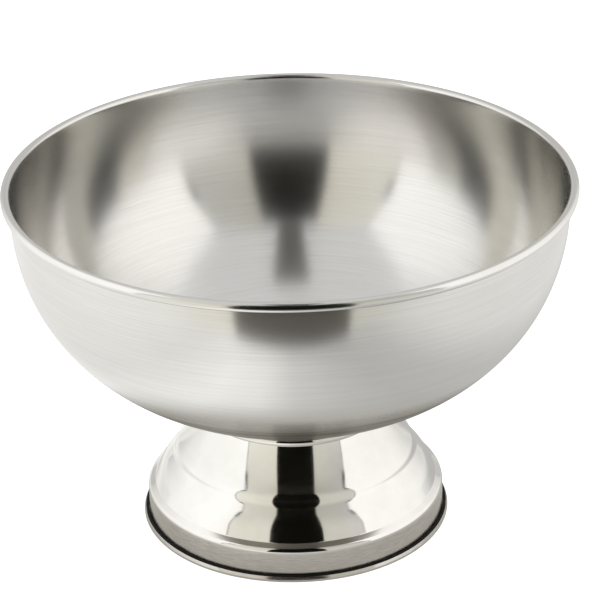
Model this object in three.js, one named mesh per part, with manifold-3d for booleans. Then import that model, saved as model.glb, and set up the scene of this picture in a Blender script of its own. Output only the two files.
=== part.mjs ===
// Pedestal ice bucket: a wide stainless bowl bolted onto a spun, hollow foot.
// Millimetres, +Z up. The origin is the centre of the base, on the surface that it stands on.
import * as THREE from 'three';
import * as BufferGeometryUtils from 'three/addons/utils/BufferGeometryUtils.js';
import Module from 'manifold-3d';

const wasm = await Module();
wasm.setup();

// Driving dimensions
const RIM_RADIUS = 200;
const HEIGHT = 260;
const BASE_RADIUS = 110.6;
const BOWL_FLOOR_Z = 97;
const BOWL_SHEET = 1.2;
const FOOT_SHEET = 1.0;
const GAP = 0.3;
const LARGE_SEGMENTS = 48;
const SMALL_SEGMENTS = 24;
const ROUND_STEPS = 2;

// Bowl: the wall is part of a superellipse and the rim is a hollow curl rolled outwards
const CURL_RADIUS = 3.3;
const CURL_CENTRE_R = RIM_RADIUS - CURL_RADIUS;
const CURL_CENTRE_Z = HEIGHT - CURL_RADIUS;
const CURL_END_DEG = -115;
const CURL_STEPS = 8;
const WALL_OUTER_R = CURL_CENTRE_R - CURL_RADIUS + BOWL_SHEET;
const WALL_TOP_Z = 254;
const WALL_DEPTH = 162;
const WALL_EXPONENT = 2.25;
const WALL_STEPS = 10;
const FLOOR_BEND_R = 58;
const FLOOR_BEND_END_R = 76;

// Foot, from the hole in its top out and down to the bottom of its skirt
const SEAT_Z = 93;
const SKIRT_BOTTOM_RADIUS = 107;
const SKIRT_BOTTOM_Z = 1.9;
const FOOT_HOLE_RADIUS = 5.5;
const FOOT_OUTLINE = [ // [r, z, corner radius]
  [FOOT_HOLE_RADIUS, SEAT_Z, 0],
  [60, SEAT_Z, 8], // shoulder under the bowl
  [68.6, 90.1, 4], // bead round the shoulder
  [68.6, 86.3, 1.2],
  [66.3, 84.5, 0.6], // top of the neck
  [72.9, 68.8, 100], // hollow sweep of the neck
  [85.5, 53.9, 12], // swelling between the neck and the dome
  [87.1, 48.6, 10],
  [95.6, 39.1, 45], // dome
  [101.7, 27, 1.3], // ledge
  [106.7, 23.5, 4.2], // top of the skirt
  [SKIRT_BOTTOM_RADIUS, SKIRT_BOTTOM_Z, 0],
];

// Base ring, with the rubber ring in its channel
const BASE_RING_INNER_R = 94;
const BASE_RING_FLANGE = 1.6;
const BASE_LIP_INNER_R = 109.5;
const BASE_LIP_HEIGHT = 4.4;
const BASE_LIP_TOP_WIDTH = 0.3;
const BASE_SLOPE_START_Z = 2.3;
const BASE_SLOPE_ROUND = 1;
const BASE_EDGE_ROUND = 1.6;
const BASE_SEAL_TOP_Z = 5.1;
const SEAL_EDGE_ROUND = 0.5;

// Fixing under the bowl
const STUD_RADIUS = 4;
const STUD_CHAMFER = 0.8;
const STUD_BOTTOM_Z = 60;
const STUD_HOLE_RADIUS = 4.4;
const PLATE_RADIUS = 22;
const PLATE_CHAMFER = 1;
const GASKET_INNER_R = 26;
const GASKET_OUTER_R = 57;
const CLAMP_WASHER_RADIUS = 24;
const CLAMP_WASHER_THICKNESS = 2;
const CLAMP_WASHER_ROUND = 0.5;
const SPRING_WASHER_RADIUS = 7.4;
const SPRING_WASHER_THICKNESS = 2;
const SPRING_WASHER_SPLIT_DEG = 14;
const NUT_TOP_RADIUS = 9;
const NUT_BOTTOM_RADIUS = 6.6;
const NUT_HEIGHT = 11;
const NUT_BAND = 2;
const NUT_EDGE_ROUND = 0.8;
const WING_SPAN = 50;
const WING_DROP = 20;
const WING_THICKNESS = 3.2;
const WING_TIP_ROUND = 5;
const WING_SHOULDER_DROP = 5;
const WING_ROOT_MARGIN = 1.5;
const WING_HEEL_DEG = -144;

const FOOT_TOP_UNDERSIDE_Z = SEAT_Z - FOOT_SHEET;
const CLAMP_WASHER_TOP_Z = FOOT_TOP_UNDERSIDE_Z - GAP;
const SPRING_WASHER_TOP_Z = CLAMP_WASHER_TOP_Z - CLAMP_WASHER_THICKNESS - GAP;
const NUT_TOP_Z = SPRING_WASHER_TOP_Z - SPRING_WASHER_THICKNESS - GAP;

function rad(deg) {
  return deg * Math.PI / 180;
}

function point(r, z) {
  return new THREE.Vector2(r, z);
}

// Points along an arc of the section, both ends included
function arc(centreR, centreZ, radius, fromDeg, toDeg, steps) {
  const points = [];
  for (let i = 0; i <= steps; i += 1) {
    const angle = rad(fromDeg + (toDeg - fromDeg) * i / steps);
    points.push(point(centreR + radius * Math.cos(angle), centreZ + radius * Math.sin(angle)));
  }
  return points;
}

// Rounds each corner [r, z, radius] of an open outline with an arc of the given number of steps
function rounded(corners, steps) {
  const points = [];
  corners.forEach(([r, z, radius], i) => {
    const corner = point(r, z);
    if (!radius || i === 0 || i === corners.length - 1) {
      points.push(corner);
      return;
    }
    const before = point(corners[i - 1][0], corners[i - 1][1]).sub(corner).normalize();
    const after = point(corners[i + 1][0], corners[i + 1][1]).sub(corner).normalize();
    const halfAngle = Math.acos(THREE.MathUtils.clamp(before.dot(after), -1, 1)) / 2;
    const bisector = before.clone().add(after).normalize();
    const centre = corner.clone().addScaledVector(bisector, radius / Math.sin(halfAngle));
    const start = corner.clone().addScaledVector(before, radius / Math.tan(halfAngle)).sub(centre);
    const sweep = (Math.PI - 2 * halfAngle) * Math.sign(after.cross(before));
    for (let k = 0; k <= steps; k += 1) {
      points.push(start.clone().rotateAround(point(0, 0), sweep * k / steps).add(centre));
    }
  });
  return points;
}

// The same outline moved sideways by a distance, to the right of its direction of travel
function offset(points, distance) {
  return points.map((current, i) => {
    const previous = points[Math.max(i - 1, 0)];
    const next = points[Math.min(i + 1, points.length - 1)];
    const arriving = current.clone().sub(previous).normalize();
    const leaving = next.clone().sub(current).normalize();
    const tangent = arriving.clone().add(leaving).normalize();
    const mitred = distance / (i > 0 && i < points.length - 1 ? tangent.dot(leaving) : 1);
    return point(current.x + tangent.y * mitred, current.y - tangent.x * mitred);
  });
}

// Turns a section (r, z) about Z. The section closes on itself or starts and ends on the axis.
function turned(section, segments) {
  let area = 0;
  section.forEach((a, i) => {
    const b = section[(i + 1) % section.length];
    area += a.x * b.y - b.x * a.y;
  });
  const ordered = area > 0 ? section : [...section].reverse();
  const onAxis = ordered[0].x === 0;
  const profile = onAxis ? ordered : [...ordered, ordered[0].clone()];
  const geometry = new THREE.LatheGeometry(profile, segments);
  geometry.rotateX(Math.PI / 2);
  return geometry;
}

// A turned section that has a hole along its axis
function ring(corners, segments) {
  return turned(rounded(corners, ROUND_STEPS), segments);
}

function toManifold(geometry) {
  const bare = geometry.clone();
  bare.deleteAttribute('normal');
  bare.deleteAttribute('uv');
  const merged = BufferGeometryUtils.mergeVertices(bare, 1e-4);
  return new wasm.Manifold(new wasm.Mesh({
    numProp: 3,
    vertProperties: new Float32Array(merged.attributes.position.array),
    triVerts: new Uint32Array(merged.index.array),
  }));
}

function fromManifold(solid) {
  const mesh = solid.getMesh();
  const geometry = new THREE.BufferGeometry();
  geometry.setAttribute('position', new THREE.BufferAttribute(mesh.vertProperties, 3));
  geometry.setIndex(new THREE.BufferAttribute(mesh.triVerts, 1));
  geometry.computeVertexNormals();
  return geometry;
}

function satinSteel() {
  return new THREE.MeshStandardMaterial({ color: 0xc3bfb9, roughness: 0.34, metalness: 1 });
}

function polishedSteel() {
  return new THREE.MeshStandardMaterial({ color: 0xdedcd8, roughness: 0.06, metalness: 1 });
}

function plainSteel() {
  return new THREE.MeshStandardMaterial({ color: 0xa9aaa8, roughness: 0.4, metalness: 1 });
}

function blackRubber() {
  return new THREE.MeshStandardMaterial({ color: 0x141414, roughness: 0.7, metalness: 0 });
}

function named(name, geometry, material) {
  const mesh = new THREE.Mesh(geometry, material);
  mesh.name = name;
  return mesh;
}

// Height of the wall's outer face at radius r
function wallZ(r) {
  const inside = 1 - (r / WALL_OUTER_R) ** WALL_EXPONENT;
  return WALL_TOP_Z - WALL_DEPTH * inside ** (1 / WALL_EXPONENT);
}

// Outer face of the bowl, from the axis to the underside of the curl
function bowlOuterFace() {
  const bendEnd = point(FLOOR_BEND_END_R, wallZ(FLOOR_BEND_END_R));
  const points = [point(0, BOWL_FLOOR_Z), point(FLOOR_BEND_R, BOWL_FLOOR_Z)];
  const bendMiddleR = (FLOOR_BEND_R + FLOOR_BEND_END_R) / 2;
  points.push(point(bendMiddleR, BOWL_FLOOR_Z + (bendEnd.y - BOWL_FLOOR_Z) / 4));
  const startAngle = Math.acos((FLOOR_BEND_END_R / WALL_OUTER_R) ** (WALL_EXPONENT / 2));
  for (let i = 0; i <= WALL_STEPS; i += 1) {
    const angle = startAngle * (1 - i / WALL_STEPS);
    const r = WALL_OUTER_R * Math.cos(angle) ** (2 / WALL_EXPONENT);
    const z = WALL_TOP_Z - WALL_DEPTH * Math.sin(angle) ** (2 / WALL_EXPONENT);
    points.push(point(r, z));
  }
  return points;
}

function bowl() {
  const outer = bowlOuterFace();
  const inner = offset(outer, -BOWL_SHEET);
  inner[0].x = 0;
  inner[inner.length - 1] = point(WALL_OUTER_R - BOWL_SHEET, WALL_TOP_Z);
  const curlOutside = arc(CURL_CENTRE_R, CURL_CENTRE_Z, CURL_RADIUS, 180, CURL_END_DEG, CURL_STEPS);
  const curlInside = arc(CURL_CENTRE_R, CURL_CENTRE_Z, CURL_RADIUS - BOWL_SHEET,
    CURL_END_DEG, 180, CURL_STEPS - 2);
  const section = [...inner, ...curlOutside, ...curlInside, ...outer.reverse()];
  return named('bowl', turned(section, LARGE_SEGMENTS), satinSteel());
}

function pedestalFoot() {
  const outer = rounded(FOOT_OUTLINE, ROUND_STEPS);
  const inner = offset(outer, FOOT_SHEET);
  inner[0] = point(FOOT_HOLE_RADIUS, FOOT_TOP_UNDERSIDE_Z);
  inner[inner.length - 1].y = SKIRT_BOTTOM_Z;
  const section = [...outer, ...inner.reverse()];
  return named('pedestal_foot', turned(section, LARGE_SEGMENTS), polishedSteel());
}

// A flat ring whose outer edge turns up into a lip with a sloping outer face
function baseRing() {
  const corners = [
    [BASE_RING_INNER_R, 0, 0],
    [BASE_RADIUS, 0, BASE_EDGE_ROUND],
    [BASE_RADIUS, BASE_SLOPE_START_Z, BASE_SLOPE_ROUND],
    [BASE_LIP_INNER_R + BASE_LIP_TOP_WIDTH, BASE_LIP_HEIGHT, 0],
    [BASE_LIP_INNER_R, BASE_LIP_HEIGHT, 0],
    [BASE_LIP_INNER_R, BASE_RING_FLANGE, 0],
    [BASE_RING_INNER_R, BASE_RING_FLANGE, 0],
  ];
  return named('base_ring', ring(corners, LARGE_SEGMENTS), polishedSteel());
}

function baseSealRing() {
  const innerR = SKIRT_BOTTOM_RADIUS + GAP;
  const outerR = BASE_LIP_INNER_R - GAP;
  const corners = [
    [innerR, BASE_RING_FLANGE + GAP, 0],
    [outerR, BASE_RING_FLANGE + GAP, 0],
    [outerR, BASE_SEAL_TOP_Z, SEAL_EDGE_ROUND],
    [innerR, BASE_SEAL_TOP_Z, 0],
  ];
  return named('base_seal_ring', ring(corners, LARGE_SEGMENTS), blackRubber());
}

function seatGasket() {
  const bottom = SEAT_Z + GAP;
  const top = BOWL_FLOOR_Z - GAP;
  const corners = [
    [GASKET_INNER_R, bottom, 0],
    [GASKET_OUTER_R, bottom, 0],
    [GASKET_OUTER_R, top, 0],
    [GASKET_INNER_R, top, 0],
  ];
  return named('seat_gasket', ring(corners, LARGE_SEGMENTS), blackRubber());
}

function bossPlate() {
  const bottom = SEAT_Z + GAP;
  const top = BOWL_FLOOR_Z - GAP;
  const corners = [
    [STUD_HOLE_RADIUS, bottom, 0],
    [PLATE_RADIUS - PLATE_CHAMFER, bottom, 0],
    [PLATE_RADIUS, bottom + PLATE_CHAMFER, 0],
    [PLATE_RADIUS, top, 0],
    [STUD_HOLE_RADIUS, top, 0],
  ];
  return named('boss_plate', ring(corners, SMALL_SEGMENTS), plainSteel());
}

function mountingStud() {
  const top = BOWL_FLOOR_Z - GAP;
  const section = [
    point(0, STUD_BOTTOM_Z),
    point(STUD_RADIUS - STUD_CHAMFER, STUD_BOTTOM_Z),
    point(STUD_RADIUS, STUD_BOTTOM_Z + STUD_CHAMFER),
    point(STUD_RADIUS, top),
    point(0, top),
  ];
  return named('mounting_stud', turned(section, SMALL_SEGMENTS), plainSteel());
}

function clampWasher() {
  const bottom = CLAMP_WASHER_TOP_Z - CLAMP_WASHER_THICKNESS;
  const corners = [
    [STUD_HOLE_RADIUS, bottom, 0],
    [CLAMP_WASHER_RADIUS, bottom, CLAMP_WASHER_ROUND],
    [CLAMP_WASHER_RADIUS, CLAMP_WASHER_TOP_Z, 0],
    [STUD_HOLE_RADIUS, CLAMP_WASHER_TOP_Z, 0],
  ];
  return named('clamp_washer', ring(corners, SMALL_SEGMENTS), plainSteel());
}

// A lock washer: a flat ring with one slot cut through it
function springWasher() {
  const half = rad(SPRING_WASHER_SPLIT_DEG / 2);
  const shape = new THREE.Shape();
  shape.absarc(0, 0, SPRING_WASHER_RADIUS, half, 2 * Math.PI - half, false);
  shape.absarc(0, 0, STUD_HOLE_RADIUS, 2 * Math.PI - half, half, true);
  const options = { depth: SPRING_WASHER_THICKNESS, bevelEnabled: false, curveSegments: SMALL_SEGMENTS / 2 };
  const geometry = new THREE.ExtrudeGeometry(shape, options);
  const mesh = named('spring_washer', geometry, plainSteel());
  mesh.position.z = SPRING_WASHER_TOP_Z - SPRING_WASHER_THICKNESS;
  return mesh;
}

// One wing, in the plane y = 0: it leaves the hub and drops away to a rounded tip
function wing(side) {
  const bottom = NUT_TOP_Z - WING_DROP;
  const rootR = (STUD_HOLE_RADIUS + NUT_BOTTOM_RADIUS) / 2;
  const tipR = WING_SPAN / 2;
  const shape = new THREE.Shape();
  const tipCentreR = tipR - WING_TIP_ROUND;
  shape.moveTo(rootR, NUT_TOP_Z - WING_ROOT_MARGIN);
  shape.lineTo(tipCentreR - WING_TIP_ROUND, NUT_TOP_Z - WING_SHOULDER_DROP);
  shape.absarc(tipCentreR, bottom + 2 * WING_TIP_ROUND, WING_TIP_ROUND, Math.PI / 2, 0, true);
  shape.absarc(tipCentreR, bottom + WING_TIP_ROUND, WING_TIP_ROUND, 0, rad(WING_HEEL_DEG), true);
  shape.lineTo(rootR, NUT_TOP_Z - NUT_HEIGHT + WING_ROOT_MARGIN);
  const options = { depth: WING_THICKNESS, bevelEnabled: false, curveSegments: SMALL_SEGMENTS / 4 };
  const geometry = new THREE.ExtrudeGeometry(shape, options);
  geometry.translate(0, 0, -WING_THICKNESS / 2);
  geometry.rotateX(Math.PI / 2);
  if (side < 0) {
    geometry.rotateZ(Math.PI);
  }
  return geometry;
}

function wingNut() {
  const bottom = NUT_TOP_Z - NUT_HEIGHT;
  const corners = [
    [STUD_HOLE_RADIUS, bottom, 0],
    [NUT_BOTTOM_RADIUS, bottom, NUT_EDGE_ROUND],
    [NUT_TOP_RADIUS, NUT_TOP_Z - NUT_BAND, 0],
    [NUT_TOP_RADIUS, NUT_TOP_Z, 0],
    [STUD_HOLE_RADIUS, NUT_TOP_Z, 0],
  ];
  const hub = toManifold(ring(corners, SMALL_SEGMENTS));
  const solid = hub.add(toManifold(wing(1))).add(toManifold(wing(-1)));
  return named('wing_nut', fromManifold(solid), plainSteel());
}

const iceBucket = new THREE.Group();
iceBucket.name = 'ice_bucket';
iceBucket.add(bowl());
iceBucket.add(pedestalFoot());
iceBucket.add(baseRing());
iceBucket.add(baseSealRing());
iceBucket.add(seatGasket());
iceBucket.add(bossPlate());
iceBucket.add(mountingStud());
iceBucket.add(clampWasher());
iceBucket.add(springWasher());
iceBucket.add(wingNut());

export default iceBucket;
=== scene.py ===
"""Looks of the pedestal ice bucket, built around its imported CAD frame. Metres, +Z up."""

import math

import bmesh
import bpy
from mathutils import Matrix, Vector


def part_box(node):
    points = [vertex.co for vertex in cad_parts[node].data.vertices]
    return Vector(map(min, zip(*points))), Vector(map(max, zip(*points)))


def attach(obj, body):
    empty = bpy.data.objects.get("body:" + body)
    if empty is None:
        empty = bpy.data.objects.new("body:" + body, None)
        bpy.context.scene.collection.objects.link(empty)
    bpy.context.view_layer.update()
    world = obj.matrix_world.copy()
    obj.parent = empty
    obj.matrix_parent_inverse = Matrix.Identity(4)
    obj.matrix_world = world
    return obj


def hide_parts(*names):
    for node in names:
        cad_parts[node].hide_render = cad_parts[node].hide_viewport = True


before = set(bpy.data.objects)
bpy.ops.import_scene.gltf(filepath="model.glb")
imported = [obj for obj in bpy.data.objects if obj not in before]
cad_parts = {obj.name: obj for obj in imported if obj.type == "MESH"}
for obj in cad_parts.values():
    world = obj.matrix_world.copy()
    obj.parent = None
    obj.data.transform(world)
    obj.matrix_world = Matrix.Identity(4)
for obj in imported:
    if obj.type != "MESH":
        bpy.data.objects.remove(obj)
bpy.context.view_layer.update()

# ---------------------------------------------------------------- sizes, from the frame
BOWL_LOW, BOWL_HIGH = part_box("bowl")
FOOT_LOW, FOOT_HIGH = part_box("pedestal_foot")
BASE_LOW, BASE_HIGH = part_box("base_ring")
SEAL_LOW, SEAL_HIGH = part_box("base_seal_ring")
GASKET_LOW, GASKET_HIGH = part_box("seat_gasket")
BOSS_LOW, BOSS_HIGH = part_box("boss_plate")
STUD_LOW, STUD_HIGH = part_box("mounting_stud")
CLAMP_LOW, CLAMP_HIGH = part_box("clamp_washer")
SPRING_LOW, SPRING_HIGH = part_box("spring_washer")
NUT_LOW, NUT_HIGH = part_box("wing_nut")

GAP = 0.0003  # what the CAD leaves free between neighbours
RING_SEGMENTS = 256
SMALL_SEGMENTS = 96

# Bowl: the wall is part of a superellipse and the rim is a hollow curl rolled outwards
BOWL_SHEET = 0.0012
CURL_RADIUS = 0.0033
CURL_END_DEG = -115
CURL_CENTRE_R = BOWL_HIGH.x - CURL_RADIUS
CURL_CENTRE_Z = BOWL_HIGH.z - CURL_RADIUS
WALL_OUTER_R = BOWL_HIGH.x - 2 * CURL_RADIUS + BOWL_SHEET
WALL_TOP_DROP = 0.006
WALL_TOP_Z = BOWL_HIGH.z - WALL_TOP_DROP
WALL_DEPTH = 0.162
WALL_EXPONENT = 2.25
FLOOR_BEND_R = 0.058
FLOOR_BEND_END_R = 0.076

# Foot
FOOT_SHEET = 0.0010
FOOT_HOLE_R = 0.0055
SEAT_Z = GASKET_LOW.z - GAP
FOOT_OUTLINE = [  # outer face, from the hole in its top to the bottom of its skirt: (r, z, corner radius)
    (FOOT_HOLE_R, SEAT_Z, 0),
    (0.0600, SEAT_Z, 0.0080),  # shoulder under the bowl
    (0.0686, 0.0901, 0.0040),  # bead round the shoulder
    (0.0686, 0.0863, 0.0012),
    (0.0663, 0.0845, 0.0006),  # top of the neck
    (0.0729, 0.0688, 0.1000),  # hollow sweep of the neck
    (0.0855, 0.0539, 0.0120),  # swelling between the neck and the dome
    (0.0871, 0.0486, 0.0100),
    (0.0956, 0.0391, 0.0450),  # dome
    (0.1017, 0.0270, 0.0013),  # ledge
    (0.1067, 0.0235, 0.0042),  # top of the skirt
    (FOOT_HIGH.x, FOOT_LOW.z, 0),
]
BRUSHED_TOP_Z = 0.0220  # the skirt is brushed below this height
BRUSHED_FADE = 0.002

# Base ring, with the rubber ring in its channel
BASE_INNER_R = 0.094
BASE_INNER_ROUND = 0.0004
BASE_EDGE_ROUND = 0.0016
BASE_SLOPE_START_Z = 0.0023
BASE_SLOPE_ROUND = 0.0010
BASE_LIP_TOP_WIDTH = 0.0003
BASE_LIP_ROUND = 0.0001
SEAL_OUTER_ROUND = 0.0007
SEAL_INNER_ROUND = 0.0003
SEAL_SEAM_RISE = 0.0005

# Fixing under the bowl
GASKET_INNER_R = 0.026
GASKET_ROUND = 0.0006
BOSS_ROUND = 0.0005
CLAMP_ROUND = 0.0004
STUD_HOLE_R = 0.0044
THREAD_PITCH = 0.00125
THREAD_DEPTH = 0.0007
SPRING_SPLIT_DEG = 14
SPRING_SLANT_DEG = 9
SPRING_ROUND = 0.0003
NUT_TOP_R = 0.0090
NUT_BOTTOM_R = 0.0066
NUT_HEIGHT = 0.011
NUT_BAND = 0.002
NUT_HOLE_ROUND = 0.0004
NUT_SIDE_ROUND = 0.0010
NUT_TOP_ROUND = 0.0005
WING_THICKNESS = 0.0032
WING_ROOT_R = 0.0056
WING_ROOT_TOP_DROP = 0.0015
WING_ROOT_LOW_DROP = 0.0095
WING_SHOULDER_DROP = 0.005
WING_TIP_ROUND = 0.005
WING_HEEL_DEG = -144
WING_EDGE_ROUND = 0.0011


# ---------------------------------------------------------------- outlines of sections, as (r, z)
def arc(centre_r, centre_z, radius, start_deg, end_deg, steps):
    points = []
    for i in range(steps + 1):
        angle = math.radians(start_deg + (end_deg - start_deg) * i / steps)
        points.append(Vector((centre_r + radius * math.cos(angle), centre_z + radius * math.sin(angle))))
    return points


def bezier(start, control, end, steps):
    return [start * (1 - t) ** 2 + control * 2 * t * (1 - t) + end * t ** 2
            for t in (i / steps for i in range(steps + 1))]


def rounded(corners, steps):
    """An open outline whose corners (r, z, radius) are rounded with arcs."""
    points = []
    for i, (r, z, radius) in enumerate(corners):
        corner = Vector((r, z))
        if radius == 0 or i in (0, len(corners) - 1):
            points.append(corner)
            continue
        before = (Vector(corners[i - 1][:2]) - corner).normalized()
        after = (Vector(corners[i + 1][:2]) - corner).normalized()
        half = before.angle(after) / 2
        centre = corner + (before + after).normalized() * radius / math.sin(half)
        start = corner + before * radius / math.tan(half) - centre
        turn = math.copysign(math.pi - 2 * half, before.y * after.x - before.x * after.y)
        for k in range(steps + 1):
            points.append(Matrix.Rotation(turn * k / steps, 2) @ start + centre)
    return points


def offset(points, distance):
    """The outline moved sideways, to the right of its direction of travel."""
    moved = []
    for i, here in enumerate(points):
        arriving = (here - points[i - 1]).normalized() if i > 0 else None
        leaving = (points[i + 1] - here).normalized() if i < len(points) - 1 else None
        arriving = arriving or leaving
        leaving = leaving or arriving
        tangent = (arriving + leaving).normalized()
        mitred = distance / tangent.dot(leaving)
        moved.append(Vector((here.x + tangent.y * mitred, here.y - tangent.x * mitred)))
    return moved


def inner_side_middle(low_z, high_z):
    """Two heights in the middle of a ring's inner side, where its outline starts and ends."""
    seam = 1e-5
    middle = (low_z + high_z) / 2
    return middle, middle + seam


def washer_section(inner_r, outer_r, low_z, high_z, edge, steps):
    """A rectangle with rounded corners."""
    start_z, end_z = inner_side_middle(low_z, high_z)
    return rounded([
        (inner_r, start_z, 0),
        (inner_r, low_z, edge),
        (outer_r, low_z, edge),
        (outer_r, high_z, edge),
        (inner_r, high_z, edge),
        (inner_r, end_z, 0),
    ], steps)


# ---------------------------------------------------------------- meshes
def linked(name, data):
    """A new object in the scene."""
    made = bpy.data.objects.new(name, data)
    bpy.context.scene.collection.objects.link(made)
    return made


def object_from(bm, name, sharp_deg=35):
    """Makes a smooth-shaded object, with the edges that turn more than sharp_deg left sharp."""
    bmesh.ops.recalc_face_normals(bm, faces=bm.faces[:])
    for face in bm.faces:
        face.smooth = True
    for edge in bm.edges:
        if len(edge.link_faces) == 2:
            edge.smooth = edge.calc_face_angle(0) < math.radians(sharp_deg)
    mesh = bpy.data.meshes.new(name)
    bm.to_mesh(mesh)
    bm.free()
    return linked(name, mesh)


def bridge(bm, first, second):
    """Faces between two closed rows of vertices."""
    for i in range(len(first)):
        j = (i + 1) % len(first)
        bm.faces.new((first[i], first[j], second[j], second[i]))


def turned(name, section, segments=RING_SEGMENTS):
    """Turns a section about Z. It closes on itself, or starts and ends on the axis."""
    on_axis_r = 1e-9
    bm = bmesh.new()
    poles = [bm.verts.new((0, 0, p.y)) if p.x < on_axis_r else None for p in section]
    columns = []
    for k in range(segments):
        angle = 2 * math.pi * k / segments
        column = []
        for p, pole in zip(section, poles):
            column.append(pole or bm.verts.new((p.x * math.cos(angle), p.x * math.sin(angle), p.y)))
        columns.append(column)
    closed = poles[0] is None
    count = len(section) if closed else len(section) - 1
    for k in range(segments):
        left, right = columns[k], columns[(k + 1) % segments]
        for i in range(count):
            j = (i + 1) % len(section)
            corners = dict.fromkeys((left[i], right[i], right[j], left[j]))  # a pole counts once
            bm.faces.new(list(corners))
    return object_from(bm, name)


def piece(made, body, node, material):
    """Puts a new piece in place of a CAD node."""
    made.data.materials.append(material)
    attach(made, body)
    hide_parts(node)
    return made


# ---------------------------------------------------------------- material building blocks
# Places of the sockets of the Mix node, which has a set for each type of data
NUMBER_A, NUMBER_B, NUMBER_RESULT = 2, 3, 0
COLOUR_A, COLOUR_B, COLOUR_RESULT = 6, 7, 2
# Most values of a noise texture lie between these
NOISE_LOW, NOISE_HIGH = 0.3, 0.7
QUARTER_TURN = 0.25


def add_node(tree, kind, **settings):
    made = tree.nodes.new(kind)
    for key, value in settings.items():
        setattr(made, key, value)
    return made


def feed(tree, socket, value):
    """Links an output to a socket, or sets the socket to a number or to a colour (r, g, b)."""
    if isinstance(value, bpy.types.NodeSocket):
        tree.links.new(value, socket)
    elif isinstance(value, tuple):
        socket.default_value = (*value, 1)
    else:
        socket.default_value = value


def math_node(tree, operation, *values):
    made = add_node(tree, "ShaderNodeMath", operation=operation)
    for socket, value in zip(made.inputs, values):
        feed(tree, socket, value)
    return made.outputs[0]


def add_all(tree, parts):
    """The weighted sum of (output, weight) pairs."""
    total = None
    for value, weight in parts:
        weighted = math_node(tree, "MULTIPLY", value, weight)
        total = weighted if total is None else math_node(tree, "ADD", total, weighted)
    return total


def remap(tree, value, low, high, to_low, to_high):
    made = add_node(tree, "ShaderNodeMapRange")
    for name, number in zip(("From Min", "From Max", "To Min", "To Max"), (low, high, to_low, to_high)):
        made.inputs[name].default_value = number
    tree.links.new(value, made.inputs["Value"])
    return made.outputs["Result"]


def spread(tree, value, to_low, to_high):
    """Stretches a noise over the range from to_low to to_high."""
    return remap(tree, value, NOISE_LOW, NOISE_HIGH, to_low, to_high)


def blend(tree, factor, first, second):
    made = add_node(tree, "ShaderNodeMix", data_type="FLOAT")
    feed(tree, made.inputs[0], factor)
    feed(tree, made.inputs[NUMBER_A], first)
    feed(tree, made.inputs[NUMBER_B], second)
    return made.outputs[NUMBER_RESULT]


def mix_colour(tree, factor, first, second):
    made = add_node(tree, "ShaderNodeMix", data_type="RGBA")
    feed(tree, made.inputs[0], factor)
    feed(tree, made.inputs[COLOUR_A], first)
    feed(tree, made.inputs[COLOUR_B], second)
    return made.outputs[COLOUR_RESULT]


def two_tone(tree, tone, dark, light, low=NOISE_LOW, high=NOISE_HIGH):
    """A colour that runs from dark to light as a noise goes from low to high."""
    return mix_colour(tree, remap(tree, tone, low, high, 0, 1), dark, light)


def place(tree):
    return add_node(tree, "ShaderNodeTexCoord").outputs["Object"]


def separate(tree, vector):
    """The x, y and z of a vector."""
    made = add_node(tree, "ShaderNodeSeparateXYZ")
    tree.links.new(vector, made.inputs[0])
    return made.outputs


def noise(tree, vector, scale, detail, roughness=0.5):
    made = add_node(tree, "ShaderNodeTexNoise")
    made.inputs["Scale"].default_value = scale
    made.inputs["Detail"].default_value = detail
    made.inputs["Roughness"].default_value = roughness
    tree.links.new(vector, made.inputs["Vector"])
    return made.outputs["Fac"]


def ring_noise(tree, lines, drift, detail):
    """Noise drawn out into circles round the axis: lines per metre across, drift along."""
    axis_guard = 1e-10  # keeps the radius above zero
    x, y, z = separate(tree, place(tree))
    squares = math_node(tree, "ADD", math_node(tree, "MULTIPLY", x, x), math_node(tree, "MULTIPLY", y, y))
    radius = math_node(tree, "SQRT", math_node(tree, "ADD", squares, axis_guard))
    along_section = math_node(tree, "ADD", radius, z)
    cosine = math_node(tree, "DIVIDE", x, radius)
    sine = math_node(tree, "DIVIDE", y, radius)
    made = add_node(tree, "ShaderNodeCombineXYZ")
    for socket, value, scale in zip(made.inputs, (along_section, cosine, sine), (lines, drift, drift)):
        feed(tree, socket, math_node(tree, "MULTIPLY", value, scale))
    return noise(tree, made.outputs[0], scale=1.0, detail=detail)


def downward(tree):
    """How far the surface faces down, from -1 to 1."""
    normal = separate(tree, add_node(tree, "ShaderNodeNewGeometry").outputs["True Normal"])
    return math_node(tree, "MULTIPLY", normal["Z"], -1)


def bump(tree, shader, height, strength, distance):
    made = add_node(tree, "ShaderNodeBump")
    made.inputs["Strength"].default_value = strength
    made.inputs["Distance"].default_value = distance
    tree.links.new(height, made.inputs["Height"])
    tree.links.new(made.outputs["Normal"], shader.inputs["Normal"])


def new_material(name):
    material = bpy.data.materials.new(name)
    material.use_nodes = True
    tree = material.node_tree
    return material, tree, tree.nodes["Principled BSDF"]


def set_surface(tree, shader, colour, roughness):
    tree.links.new(colour, shader.inputs["Base Color"])
    tree.links.new(roughness, shader.inputs["Roughness"])


def brushed_in_circles(tree, shader, amount):
    """Blurs reflections across the circles of the brushing, and less along them."""
    shader.inputs["Anisotropic"].default_value = amount
    shader.inputs["Anisotropic Rotation"].default_value = QUARTER_TURN
    tangent = add_node(tree, "ShaderNodeTangent", direction_type="RADIAL", axis="Z")
    tree.links.new(tangent.outputs[0], shader.inputs["Tangent"])


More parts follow.
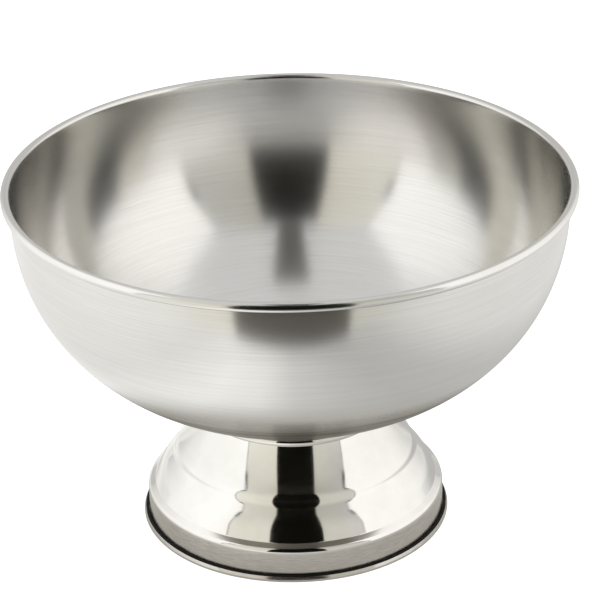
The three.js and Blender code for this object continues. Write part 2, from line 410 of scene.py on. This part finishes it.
# ---------------------------------------------------------------- materials
def satin_steel():
    """Stainless sheet brushed in circles. Painted shade darkens the bowl's underside where it faces down,
    streaked from turning; it is also rougher there.
    """
    material, tree, shader = new_material("satin_steel")
    shader.inputs["Metallic"].default_value = 1
    bands = ring_noise(tree, lines=90, drift=0.6, detail=1.0)
    lines = ring_noise(tree, lines=900, drift=2.5, detail=3.0)
    fine = ring_noise(tree, lines=3200, drift=5.0, detail=2.0)
    cloud = noise(tree, place(tree), scale=14, detail=3.0)
    tone = add_all(tree, [(bands, 0.15), (lines, 0.35), (fine, 0.25), (cloud, 0.25)])
    streaks = ring_noise(tree, lines=420, drift=1.6, detail=4.0)
    bright = two_tone(tree, tone, dark=(0.745, 0.735, 0.71), light=(0.875, 0.865, 0.85))
    # Painted shade: a dark, streaked colour for the downward-facing underside
    painted_underside_shade = two_tone(tree, streaks, dark=(0.13, 0.118, 0.10), light=(0.38, 0.36, 0.325))
    underside_shade_mask = remap(tree, downward(tree), low=0.61, high=0.75, to_low=0, to_high=1)
    satin_roughness = spread(tree, tone, to_low=0.21, to_high=0.16)
    dull_roughness = spread(tree, streaks, to_low=0.44, to_high=0.32)
    set_surface(tree, shader, mix_colour(tree, underside_shade_mask, bright, painted_underside_shade),
                blend(tree, underside_shade_mask, satin_roughness, dull_roughness))
    brushed_in_circles(tree, shader, amount=0.75)
    grooves = add_all(tree, [(lines, 0.6), (fine, 0.4)])
    bump(tree, shader, grooves, strength=0.14, distance=0.00002)
    return material


def polished_steel():
    """Mirror polish with faint buffing circles and smears, and a brushed band on the upright skirt."""
    material, tree, shader = new_material("polished_steel")
    shader.inputs["Metallic"].default_value = 1
    rings = ring_noise(tree, lines=1400, drift=3.0, detail=3.0)
    streaks = ring_noise(tree, lines=1500, drift=14.0, detail=5.0)
    smear = noise(tree, place(tree), scale=22, detail=4.0, roughness=0.6)
    scratch = noise(tree, place(tree), scale=900, detail=2.0)
    height = separate(tree, place(tree))["Z"]
    skirt = remap(tree, height, BRUSHED_TOP_Z, BRUSHED_TOP_Z - BRUSHED_FADE, 0, 1)
    tone = blend(tree, skirt, smear, add_all(tree, [(streaks, 0.7), (smear, 0.3)]))
    mirror = two_tone(tree, tone, dark=(0.80, 0.785, 0.755), light=(0.90, 0.89, 0.87))
    band = two_tone(tree, tone, dark=(0.60, 0.58, 0.54), light=(0.76, 0.745, 0.71), low=0.34, high=0.66)
    wear = add_all(tree, [(smear, 0.6), (rings, 0.3), (scratch, 0.1)])
    mirror_roughness = spread(tree, wear, to_low=0.07, to_high=0.13)
    band_roughness = spread(tree, streaks, to_low=0.16, to_high=0.26)
    set_surface(tree, shader, mix_colour(tree, skirt, mirror, band),
                blend(tree, skirt, mirror_roughness, band_roughness))
    brushed_in_circles(tree, shader, amount=0.8)
    band_depth = 2.5
    grooves = blend(tree, skirt, rings, math_node(tree, "MULTIPLY", streaks, band_depth))
    bump(tree, shader, grooves, strength=0.12, distance=0.000006)
    return material


def plain_steel():
    """Zinc-grey fastener steel with turning marks and a dull, uneven film."""
    material, tree, shader = new_material("plain_steel")
    shader.inputs["Metallic"].default_value = 1
    marks = ring_noise(tree, lines=2600, drift=4.0, detail=3.0)
    film = noise(tree, place(tree), scale=160, detail=4.0, roughness=0.6)
    tone = add_all(tree, [(marks, 0.5), (film, 0.5)])
    colour = two_tone(tree, tone, dark=(0.48, 0.48, 0.475), light=(0.68, 0.68, 0.67))
    set_surface(tree, shader, colour, spread(tree, tone, to_low=0.46, to_high=0.30))
    bump(tree, shader, tone, strength=0.3, distance=0.00006)
    return material


def black_rubber():
    """Matt black rubber with a fine grain and a trace of dust."""
    material, tree, shader = new_material("black_rubber")
    shader.inputs["Specular IOR Level"].default_value = 0.2
    grain = noise(tree, place(tree), scale=1500, detail=3.0, roughness=0.6)
    dust = noise(tree, place(tree), scale=60, detail=4.0, roughness=0.6)
    colour = two_tone(tree, dust, dark=(0.003, 0.003, 0.0032), light=(0.009, 0.0088, 0.0085), low=0.35)
    set_surface(tree, shader, colour, spread(tree, grain, to_low=0.55, to_high=0.75))
    bump(tree, shader, grain, strength=0.4, distance=0.0001)
    return material


# ---------------------------------------------------------------- bowl
def wall_z(r):
    """Height of the wall's outer face at radius r."""
    return WALL_TOP_Z - WALL_DEPTH * (1 - (r / WALL_OUTER_R) ** WALL_EXPONENT) ** (1 / WALL_EXPONENT)


def wall_slope(r):
    step = 1e-5
    return (wall_z(r + step) - wall_z(r - step)) / (2 * step)


def bowl_outer_face():
    """From the axis, along the flat floor and up the wall to the underside of the curl."""
    floor_steps, bend_steps, wall_steps = 12, 10, 60
    floor_z = BOWL_LOW.z
    points = [Vector((FLOOR_BEND_R * i / floor_steps, floor_z)) for i in range(floor_steps)]
    bend_end = Vector((FLOOR_BEND_END_R, wall_z(FLOOR_BEND_END_R)))
    bend_control = Vector((bend_end.x - (bend_end.y - floor_z) / wall_slope(FLOOR_BEND_END_R), floor_z))
    points += bezier(Vector((FLOOR_BEND_R, floor_z)), bend_control, bend_end, bend_steps)
    start = math.acos((FLOOR_BEND_END_R / WALL_OUTER_R) ** (WALL_EXPONENT / 2))
    for i in range(1, wall_steps + 1):
        angle = start * (1 - i / wall_steps)
        r = WALL_OUTER_R * max(math.cos(angle), 0) ** (2 / WALL_EXPONENT)
        z = WALL_TOP_Z - WALL_DEPTH * max(math.sin(angle), 0) ** (2 / WALL_EXPONENT)
        points.append(Vector((r, z)))
    return points


def bowl():
    outer = bowl_outer_face()
    inner = offset(outer, -BOWL_SHEET)
    inner[0].x = 0
    curl_outside = arc(CURL_CENTRE_R, CURL_CENTRE_Z, CURL_RADIUS, 180, CURL_END_DEG, steps=40)
    curl_inside = arc(CURL_CENTRE_R, CURL_CENTRE_Z, CURL_RADIUS - BOWL_SHEET, CURL_END_DEG, 180, steps=30)
    return turned("bowl_shell", inner + curl_outside + curl_inside + outer[::-1])


# ---------------------------------------------------------------- foot
def pedestal_foot():
    outer = rounded(FOOT_OUTLINE, steps=14)
    inner = offset(outer, FOOT_SHEET)
    inner[0].x = FOOT_HOLE_R
    inner[-1].y = FOOT_LOW.z
    return turned("foot_shell", outer + inner[::-1])


def base_ring():
    """A flat ring whose outer edge turns up into a lip with a sloping outer face."""
    flange_z = SEAL_LOW.z - GAP
    lip_r = SEAL_HIGH.x + GAP
    corners = [
        (BASE_INNER_R, BASE_LOW.z, BASE_INNER_ROUND),
        (BASE_HIGH.x, BASE_LOW.z, BASE_EDGE_ROUND),
        (BASE_HIGH.x, BASE_SLOPE_START_Z, BASE_SLOPE_ROUND),
        (lip_r + BASE_LIP_TOP_WIDTH, BASE_HIGH.z, BASE_LIP_ROUND),
        (lip_r, BASE_HIGH.z, BASE_LIP_ROUND),
        (lip_r, flange_z, 0),
        (BASE_INNER_R, flange_z, 0),
    ]
    return turned("base_ring_rolled", rounded(corners, steps=10))


def base_seal_ring():
    """A rubber ring between the skirt and the lip, which rises a little above the lip."""
    inner_r = FOOT_HIGH.x + GAP
    corners = [
        (inner_r, SEAL_LOW.z, 0),
        (SEAL_HIGH.x, SEAL_LOW.z, 0),
        (SEAL_HIGH.x, SEAL_HIGH.z, SEAL_OUTER_ROUND),
        (inner_r, SEAL_HIGH.z, SEAL_INNER_ROUND),
        (inner_r, SEAL_LOW.z + SEAL_SEAM_RISE, 0),
    ]
    return turned("base_seal", rounded(corners, steps=6))


# ---------------------------------------------------------------- fixing under the bowl
def flat_ring(name, low, high, inner_r, edge, segments=SMALL_SEGMENTS):
    """A flat ring with rounded edges."""
    return turned(name, washer_section(inner_r, high.x, low.z, high.z, edge, steps=5), segments)


def seat_gasket():
    return flat_ring("gasket_ring", GASKET_LOW, GASKET_HIGH, GASKET_INNER_R, GASKET_ROUND, RING_SEGMENTS)


def boss_plate():
    return flat_ring("boss_disc", BOSS_LOW, BOSS_HIGH, STUD_HOLE_R, BOSS_ROUND)


def clamp_washer():
    return flat_ring("clamp_disc", CLAMP_LOW, CLAMP_HIGH, STUD_HOLE_R, CLAMP_ROUND)


def thread_radius(z, turn):
    """Radius of the stud's surface at height z and at a share of a turn. The thread fades at both ends."""
    crest_flatness = 1.25  # above 1, so that the crests are cut flat
    fade = min(1, (z - STUD_LOW.z) / THREAD_PITCH, (STUD_HIGH.z - z) / THREAD_PITCH)
    phase = (z / THREAD_PITCH - turn) % 1
    ridge = min(1, crest_flatness * (1 - abs(2 * phase - 1)))
    core_r = STUD_HIGH.x - THREAD_DEPTH
    return core_r + (STUD_HIGH.x - core_r) * ridge * fade


def threaded_stud():
    """A stud whose side is one helical thread, and whose ends are flat."""
    around = 48
    rows_per_pitch = 6
    length = STUD_HIGH.z - STUD_LOW.z
    rows = int(length / THREAD_PITCH * rows_per_pitch)
    bm = bmesh.new()
    grid = []
    for i in range(rows + 1):
        z = STUD_LOW.z + length * i / rows
        ring = []
        for k in range(around):
            angle = 2 * math.pi * k / around
            r = thread_radius(z, k / around)
            ring.append(bm.verts.new((r * math.cos(angle), r * math.sin(angle), z)))
        grid.append(ring)
    for lower, upper in zip(grid, grid[1:]):
        bridge(bm, lower, upper)
    for ring, z in ((grid[0], STUD_LOW.z), (grid[-1], STUD_HIGH.z)):
        middle = bm.verts.new((0, 0, z))
        for k in range(around):
            bm.faces.new((ring[k], ring[(k + 1) % around], middle))
    return object_from(bm, "threaded_stud", sharp_deg=60)


def split_washer():
    """A lock washer: a square section swept round the stud, with a slanting cut."""
    steps = 90
    split = math.radians(SPRING_SPLIT_DEG)
    low, high = SPRING_LOW.z, SPRING_HIGH.z
    outline = washer_section(STUD_HOLE_R, SPRING_HIGH.y, low, high, SPRING_ROUND, steps=3)
    bm = bmesh.new()
    grid = []
    for i in range(steps + 1):
        ring = []
        for p in outline:
            slant = math.radians(SPRING_SLANT_DEG) * ((p.y - low) / (high - low) - 0.5)
            angle = split / 2 + slant + (2 * math.pi - split) * i / steps
            ring.append(bm.verts.new((p.x * math.cos(angle), p.x * math.sin(angle), p.y)))
        grid.append(ring)
    for first, second in zip(grid, grid[1:]):
        bridge(bm, first, second)
    bm.faces.new(grid[0])
    bm.faces.new(grid[-1][::-1])
    return object_from(bm, "split_washer", sharp_deg=40)


def wing_outline(side):
    """One wing's outline in the plane y = 0, as (x, z)."""
    top, low = NUT_HIGH.z, NUT_LOW.z
    tip_centre = NUT_HIGH.x - WING_TIP_ROUND
    points = [
        Vector((WING_ROOT_R, top - WING_ROOT_TOP_DROP)),
        Vector((NUT_HIGH.x - 2 * WING_TIP_ROUND, top - WING_SHOULDER_DROP)),
    ]
    points += arc(tip_centre, low + 2 * WING_TIP_ROUND, WING_TIP_ROUND, 90, 0, steps=8)
    points += arc(tip_centre, low + WING_TIP_ROUND, WING_TIP_ROUND, 0, WING_HEEL_DEG, steps=10)
    points.append(Vector((WING_ROOT_R, top - WING_ROOT_LOW_DROP)))
    return [Vector((side * p.x, p.y)) for p in points]


def wing(side):
    """A flat wing with rounded edges, on the side 1 or -1 of the hub."""
    bm = bmesh.new()
    outline = wing_outline(side)
    front = [bm.verts.new((p.x, -WING_THICKNESS / 2, p.y)) for p in outline]
    back = [bm.verts.new((p.x, WING_THICKNESS / 2, p.y)) for p in outline]
    bm.faces.new(front)
    bm.faces.new(back[::-1])
    for i in range(len(outline)):
        j = (i + 1) % len(outline)
        bm.faces.new((front[i], back[i], back[j], front[j]))
    made = object_from(bm, "wing")
    bevel = made.modifiers.new("edge", "BEVEL")
    bevel.width = WING_EDGE_ROUND
    bevel.segments = 4
    bevel.limit_method = "ANGLE"
    bevel.angle_limit = math.radians(60)
    return made


def apply_modifiers(made):
    """Swaps the object's mesh for the one that its modifiers make."""
    depsgraph = bpy.context.evaluated_depsgraph_get()
    mesh = bpy.data.meshes.new_from_object(made.evaluated_get(depsgraph))
    made.modifiers.clear()
    made.data = mesh


def wing_nut():
    """A pressed wing nut: a tapered hub joined to two wings."""
    top = NUT_HIGH.z
    bottom = top - NUT_HEIGHT
    start_z, end_z = inner_side_middle(top, bottom)
    corners = [
        (STUD_HOLE_R, start_z, 0),
        (STUD_HOLE_R, bottom, NUT_HOLE_ROUND),
        (NUT_BOTTOM_R, bottom, NUT_SIDE_ROUND),
        (NUT_TOP_R, top - NUT_BAND, NUT_SIDE_ROUND),
        (NUT_TOP_R, top, NUT_TOP_ROUND),
        (STUD_HOLE_R, top, NUT_HOLE_ROUND),
        (STUD_HOLE_R, end_z, 0),
    ]
    made = turned("wing_nut_pressed", rounded(corners, steps=5), SMALL_SEGMENTS)
    for side in (1, -1):
        other = wing(side)
        joined = made.modifiers.new("wing", "BOOLEAN")
        joined.operation = "UNION"
        joined.solver = "EXACT"
        joined.object = other
        apply_modifiers(made)
        bpy.data.objects.remove(other)
    return made


# ---------------------------------------------------------------- studio
# A white tent round the object, with an open dark slot in front where the camera looks in
FRONT_Y, BACK_Y = -0.60, 1.0
LEFT_X, RIGHT_X = -0.80, 0.76
TENT_LOW_Z, TENT_HIGH_Z = -0.7, 1.5
OPENING_HALF = 0.216
SIDE_BREAK_Y = 0.25  # behind this, the side walls darken towards the back
DIMMING_LOW_Z, DIMMING_HIGH_Z = 0.25, 0.66  # heights between which the front cards dim

SLOT_Y = FRONT_Y - 0.15
SLOT_HALF = 0.6
SLOT_LOW_Z = -0.01
SLOT_STEP_Z = -0.075
OVERHEAD_HALF = 0.12
OVERHEAD_BACK_Y = 0.2
OVERHEAD_Z = TENT_HIGH_Z + 0.05

FLOOR_GLOW_Z = -0.0004
FLOOR_SEEN_Z = -0.0008
FLOOR_SEEN_REACH = 40.0
FLOOR_RAMP_HALF = 0.5
FLOOR_RAMP = [  # (place from left to right, brightness), as metal shows the floor
    (0.10, 0.93), (0.25, 0.86), (0.38, 1.05), (0.45, 0.95), (0.50, 0.72),
    (0.57, 0.60), (0.64, 0.53), (0.72, 0.56), (0.88, 0.82),
]
FLOOR_SHADE_START_R, FLOOR_SHADE_END_R = 0.132, 0.195


def emission_material(name):
    """A material with nothing but light, and the light's node."""
    material = bpy.data.materials.new(name)
    material.use_nodes = True
    tree = material.node_tree
    tree.nodes.clear()
    light = add_node(tree, "ShaderNodeEmission")
    tree.links.new(light.outputs[0], add_node(tree, "ShaderNodeOutputMaterial").inputs[0])
    return material, tree, light


def glow(name, first, last, start, end, top):
    """Light whose colour runs from start to end between two corners, and that dims upwards to top."""
    material, tree, light = emission_material(name)
    coordinates = separate(tree, place(tree))
    axis = 0 if first[0] != last[0] else 1
    run = remap(tree, coordinates[axis], first[axis], last[axis], 0, 1)
    tree.links.new(mix_colour(tree, run, start, end), light.inputs["Color"])
    dimming = remap(tree, coordinates["Z"], DIMMING_LOW_Z, DIMMING_HIGH_Z, 1, top)
    tree.links.new(dimming, light.inputs["Strength"])
    return material


def floor_glow():
    """The tent's floor as metal shows it: brightest left of the middle, and shaded round the foot."""
    material, tree, light = emission_material("floor_light")
    green, blue = 0.995, 0.97  # against a red of 1
    across = add_node(tree, "ShaderNodeValToRGB")
    x = separate(tree, place(tree))["X"]
    tree.links.new(remap(tree, x, -FLOOR_RAMP_HALF, FLOOR_RAMP_HALF, 0, 1), across.inputs[0])
    ramp = across.color_ramp
    while len(ramp.elements) < len(FLOOR_RAMP):
        ramp.elements.new(0.5)  # the loop below moves it
    for element, (position, level) in zip(ramp.elements, FLOOR_RAMP):
        element.position = position
        element.color = (level, level * green, level * blue, 1)
    distance = add_node(tree, "ShaderNodeVectorMath", operation="LENGTH")
    tree.links.new(place(tree), distance.inputs[0])
    clear = remap(tree, distance.outputs["Value"], FLOOR_SHADE_START_R, FLOOR_SHADE_END_R, 0, 1)
    shaded = (0.50, 0.485, 0.45)
    tree.links.new(mix_colour(tree, clear, shaded, across.outputs[0]), light.inputs["Color"])
    return material


def seen_floor_paint():
    """Nearly white, and lit evenly by itself."""
    material, _, paint = new_material("floor_seen_paint")
    paint.inputs["Base Color"].default_value = (0.55, 0.55, 0.545, 1)
    paint.inputs["Roughness"].default_value = 0.9
    paint.inputs["Specular IOR Level"].default_value = 0.0
    paint.inputs["Emission Color"].default_value = (1, 1, 1, 1)
    paint.inputs["Emission Strength"].default_value = 0.95
    return material


def card(name, corners, material, camera=False, glossy=True, diffuse=True):
    """A flat stage card through its corners."""
    mesh = bpy.data.meshes.new(name)
    mesh.from_pydata(corners, [], [range(len(corners))])
    mesh.materials.append(material)
    made = linked(name, mesh)
    made.visible_camera = camera
    made.visible_glossy = glossy
    made.visible_diffuse = diffuse
    return made


def upright(name, first, last, start, end=None, top=1.0, low=TENT_LOW_Z, high=TENT_HIGH_Z):
    """A standing card between two places (x, y), with a glow from start to end."""
    corners = [(*first, low), (*last, low), (*last, high), (*first, high)]
    card("card_" + name, corners, glow(name + "_light", first, last, start, end or start, top))


def flat_card(name, low_x, high_x, low_y, high_y, z, material, **seen_by):
    corners = [(low_x, low_y, z), (high_x, low_y, z), (high_x, high_y, z), (low_x, high_y, z)]
    card(name, corners, material, **seen_by)


def tent_walls():
    upright("front_left", (LEFT_X, FRONT_Y), (-OPENING_HALF, FRONT_Y),
            (0.93, 0.92, 0.83), (0.84, 0.81, 0.71), top=0.84)
    upright("front_right", (OPENING_HALF, FRONT_Y), (RIGHT_X, FRONT_Y),
            (0.67, 0.66, 0.58), (0.68, 0.67, 0.64), top=0.78)
    upright("left", (LEFT_X, FRONT_Y), (LEFT_X, SIDE_BREAK_Y), (1.16, 1.15, 1.12), (1.10, 1.09, 1.07))
    upright("left_back", (LEFT_X, SIDE_BREAK_Y), (LEFT_X, BACK_Y), (1.10, 1.09, 1.07), (0.70, 0.69, 0.67))
    upright("right", (RIGHT_X, FRONT_Y), (RIGHT_X, SIDE_BREAK_Y), (1.16, 1.14, 1.11), (1.08, 1.06, 1.03))
    upright("right_back", (RIGHT_X, SIDE_BREAK_Y), (RIGHT_X, BACK_Y), (1.08, 1.06, 1.03), (0.74, 0.73, 0.71))
    upright("back", (LEFT_X, BACK_Y), (RIGHT_X, BACK_Y), (0.60, 0.595, 0.58))


def tent_corners():
    """A grey strip of painted shade where each front card meets the side wall, and a wider darker strip on
    part of its height.
    """
    strip_half, strip_y = 0.02, FRONT_Y + 0.02
    dark_half, dark_y = 0.06, FRONT_Y + 0.03
    strip_shade, dark_light = (0.5, 0.49, 0.45), (0.12, 0.11, 0.10)
    for name, x in (("left", LEFT_X + strip_half), ("right", RIGHT_X - strip_half)):
        # The grey strip is painted shade in the tent's corner
        upright(name + "_corner", (x - strip_half, strip_y), (x + strip_half, strip_y), strip_shade)
        upright(name + "_corner_dark", (x - dark_half, dark_y), (x + dark_half, dark_y), dark_light,
                low=0.62, high=0.88)


def opening():
    """What metal shows through the opening: darkness, a lit step and a dim floor, and a dim ceiling."""
    left, right = (-SLOT_HALF, SLOT_Y), (SLOT_HALF, SLOT_Y)
    ceiling = (0.10, 0.095, 0.085)
    upright("slot", left, right, (0.004, 0.004, 0.003), low=SLOT_LOW_Z)
    ceiling_light = glow("slot_overhead_light", (-OVERHEAD_HALF, 0), (OVERHEAD_HALF, 0), ceiling, ceiling, 1)
    flat_card("slot_overhead", -OVERHEAD_HALF, OVERHEAD_HALF, SLOT_Y, OVERHEAD_BACK_Y, OVERHEAD_Z,
              ceiling_light)
    upright("slot_step", left, right, (0.16, 0.147, 0.127), low=SLOT_STEP_Z, high=SLOT_LOW_Z)
    upright("slot_floor", left, right, (0.080, 0.071, 0.060), high=SLOT_STEP_Z)


def glowing_floor():
    """The floor that metal shows. Its front edge steps back in the middle."""
    front_right = [(0.05, -0.447), (0.12, -0.463), (0.25, -0.53)]
    front_left = [(-x, y) for x, y in reversed(front_right)]
    front_y = front_right[-1][1]
    outline = [(LEFT_X, front_y), *front_left, *front_right, (RIGHT_X, front_y),
               (RIGHT_X, BACK_Y), (LEFT_X, BACK_Y)]
    card("floor_near", [(x, y, FLOOR_GLOW_Z) for x, y in outline], floor_glow())


def key_light():
    """A weak soft light that only matt surfaces show."""
    location, target = Vector((-0.42, -0.55, 0.80)), Vector((0, 0, 0.12))
    data = bpy.data.lights.new("key", "AREA")
    data.size = 0.4
    data.energy = 4
    made = linked("key", data)
    made.location = location
    made.rotation_mode = "QUATERNION"
    made.rotation_quaternion = (target - location).to_track_quat("-Z", "Y")
    made.visible_glossy = False
    made.visible_camera = False


def white_world():
    world = bpy.data.worlds.new("white_room")
    bpy.context.scene.world = world
    world.use_nodes = True
    background = world.node_tree.nodes["Background"]
    background.inputs["Color"].default_value = (1, 1, 1, 1)
    background.inputs["Strength"].default_value = 0.70


def studio():
    tent_walls()
    tent_corners()
    opening()
    glowing_floor()
    key_light()
    reach = FLOOR_SEEN_REACH
    flat_card("floor_seen", -reach, reach, -reach, reach, FLOOR_SEEN_Z, seen_floor_paint(),
              camera=True, glossy=False, diffuse=False)
    white_world()


def camera():
    """The photograph's viewpoint: a long lens well above the rim, looking down into the bowl."""
    distance, height = 1.8004, 1.0457
    lens, sensor_width = 170.2, 36
    down, aside, roll = (math.radians(a) for a in (26.05, 0.18, -1.09))
    forward = Vector((math.sin(aside) * math.cos(down), math.cos(aside) * math.cos(down), -math.sin(down)))
    right = forward.cross(Vector((0, 0, 1))).normalized()
    up = right.cross(forward)
    right, up = right * math.cos(roll) + up * math.sin(roll), up * math.cos(roll) - right * math.sin(roll)
    data = bpy.data.cameras.new("camera")
    data.sensor_width = sensor_width
    data.lens = lens
    made = linked("camera", data)
    made.matrix_world = Matrix((
        (right.x, up.x, -forward.x, 0),
        (right.y, up.y, -forward.y, -distance),
        (right.z, up.z, -forward.z, height),
        (0, 0, 0, 1),
    ))
    bpy.context.scene.camera = made


# ---------------------------------------------------------------- the object
satin = satin_steel()
polished = polished_steel()
plain = plain_steel()
rubber = black_rubber()

camera()
piece(bowl(), "root", "bowl", satin)
piece(pedestal_foot(), "root", "pedestal_foot", polished)
piece(base_ring(), "root", "base_ring", polished)
piece(base_seal_ring(), "root", "base_seal_ring", rubber)
piece(seat_gasket(), "root", "seat_gasket", rubber)
piece(boss_plate(), "root", "boss_plate", plain)
piece(threaded_stud(), "root", "mounting_stud", plain)
piece(clamp_washer(), "washers", "clamp_washer", plain)
piece(split_washer(), "washers", "spring_washer", plain)
piece(wing_nut(), "wing_nut", "wing_nut", plain)
studio()
bpy.context.scene.view_settings.view_transform = "Standard"
